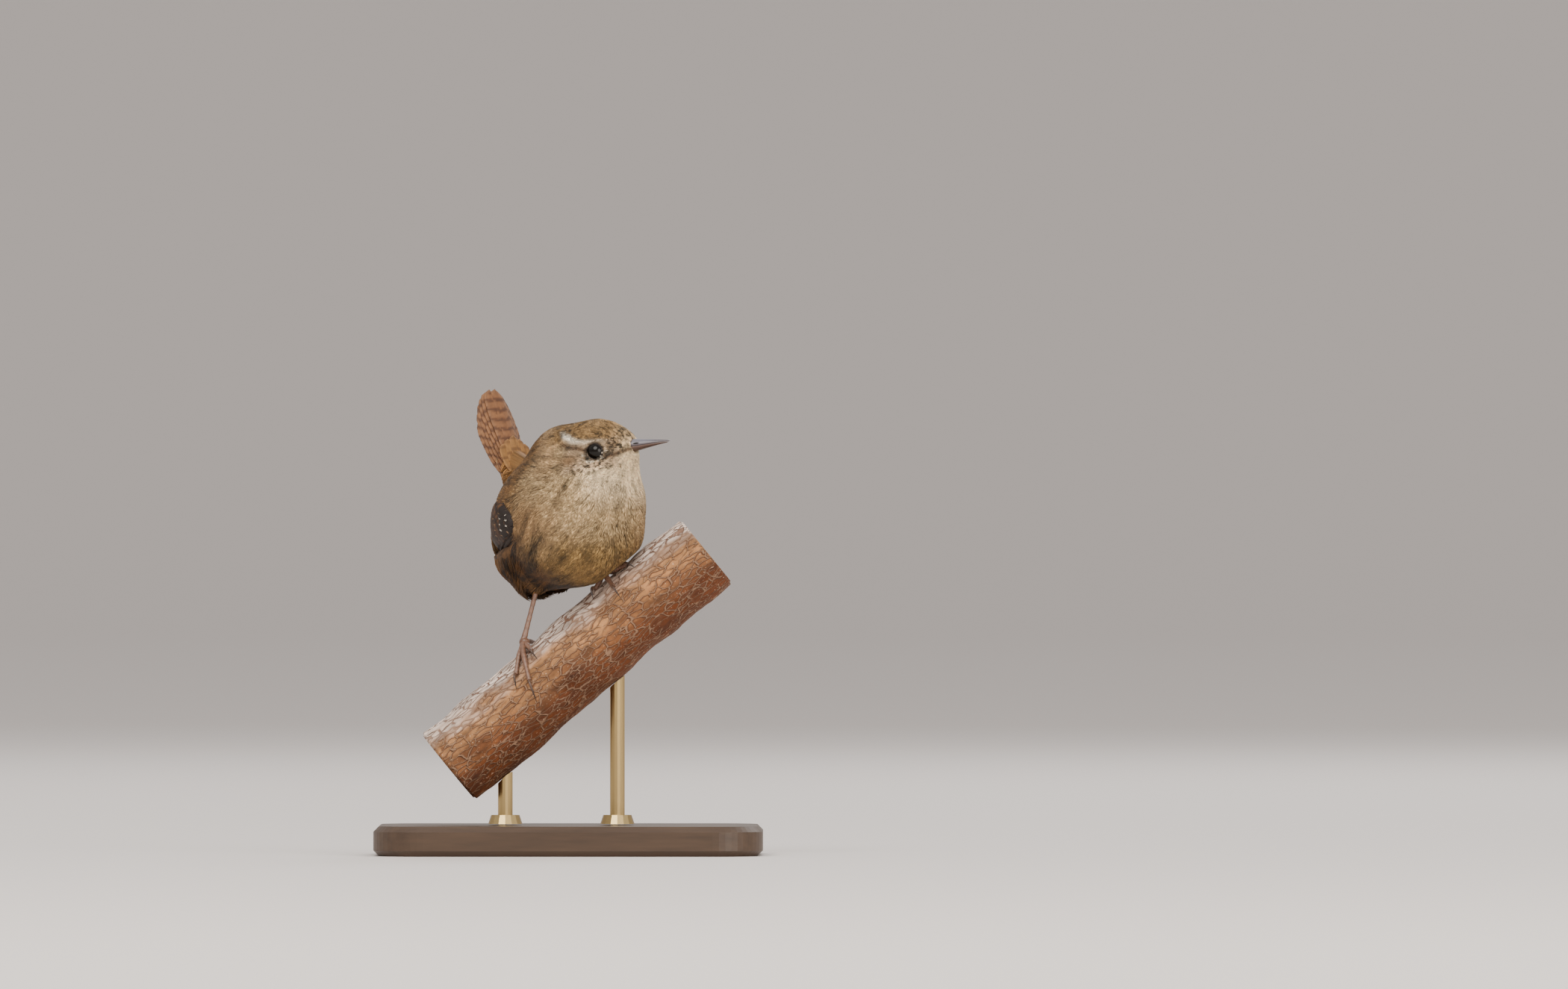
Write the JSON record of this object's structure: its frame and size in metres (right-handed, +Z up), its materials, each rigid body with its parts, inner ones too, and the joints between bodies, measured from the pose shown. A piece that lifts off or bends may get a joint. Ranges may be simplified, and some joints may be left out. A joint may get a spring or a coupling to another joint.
{
  "type": "wren",
  "caption": "Life-size still model of a small brown wren with a cocked tail, standing on a slanting cut branch held by two rods on a flat base.",
  "frame": {"origin": "middle of the underside of the stand's base, on the floor", "axes": "+Z up; +X along the base and the branch's rise, to the right for a viewer who sees the bird's right side; +Y away from that viewer"},
  "size_m": [0.104, 0.066, 0.1249],
  "materials": {
    "head": "soft matt plumage",
    "neck": "soft matt plumage",
    "torso": "soft matt plumage",
    "thigh_left": "soft matt plumage",
    "thigh_right": "soft matt plumage",
    "wing_left": "barred flight feathers",
    "wing_right": "barred flight feathers",
    "tail": "barred tail feathers",
    "bill_upper": "smooth horn",
    "bill_lower": "smooth horn",
    "eye_left": "polished dark eye",
    "eye_right": "polished dark eye",
    "tarsus_left": "scaly skin",
    "tarsus_right": "scaly skin",
    "foot_left": "scaly skin",
    "foot_right": "scaly skin",
    "perch": "cracked bark",
    "stand_base": "dark oiled wood",
    "stand_rod_1": "satin",
    "stand_rod_2": "satin",
    "claw_left_inner": "smooth horn",
    "claw_left_middle": "smooth horn",
    "claw_left_outer": "smooth horn",
    "claw_left_hind": "smooth horn",
    "claw_right_inner": "smooth horn",
    "claw_right_middle": "smooth horn",
    "claw_right_outer": "smooth horn",
    "claw_right_hind": "smooth horn"
  },
  "bodies": {
    "root": {"head": "head", "neck": "neck", "torso": "torso", "thigh_left": "thigh_left", "thigh_right": "thigh_right", "wing_left": "wing_left", "wing_right": "wing_right", "tail": "tail", "bill_upper": "bill_upper", "bill_lower": "bill_lower", "eye_left": "eye_left", "eye_right": "eye_right", "tarsus_left": "tarsus_left", "tarsus_right": "tarsus_right", "foot_left": "foot_left", "foot_right": "foot_right", "perch": "perch", "stand_base": "stand_base", "stand_rod_1": "stand_rod_1", "stand_rod_2": "stand_rod_2", "claw_left_inner": "claw_left_inner", "claw_left_middle": "claw_left_middle", "claw_left_outer": "claw_left_outer", "claw_left_hind": "claw_left_hind", "claw_right_inner": "claw_right_inner", "claw_right_middle": "claw_right_middle", "claw_right_outer": "claw_right_outer", "claw_right_hind": "claw_right_hind"}
  },
  "joints": []
}
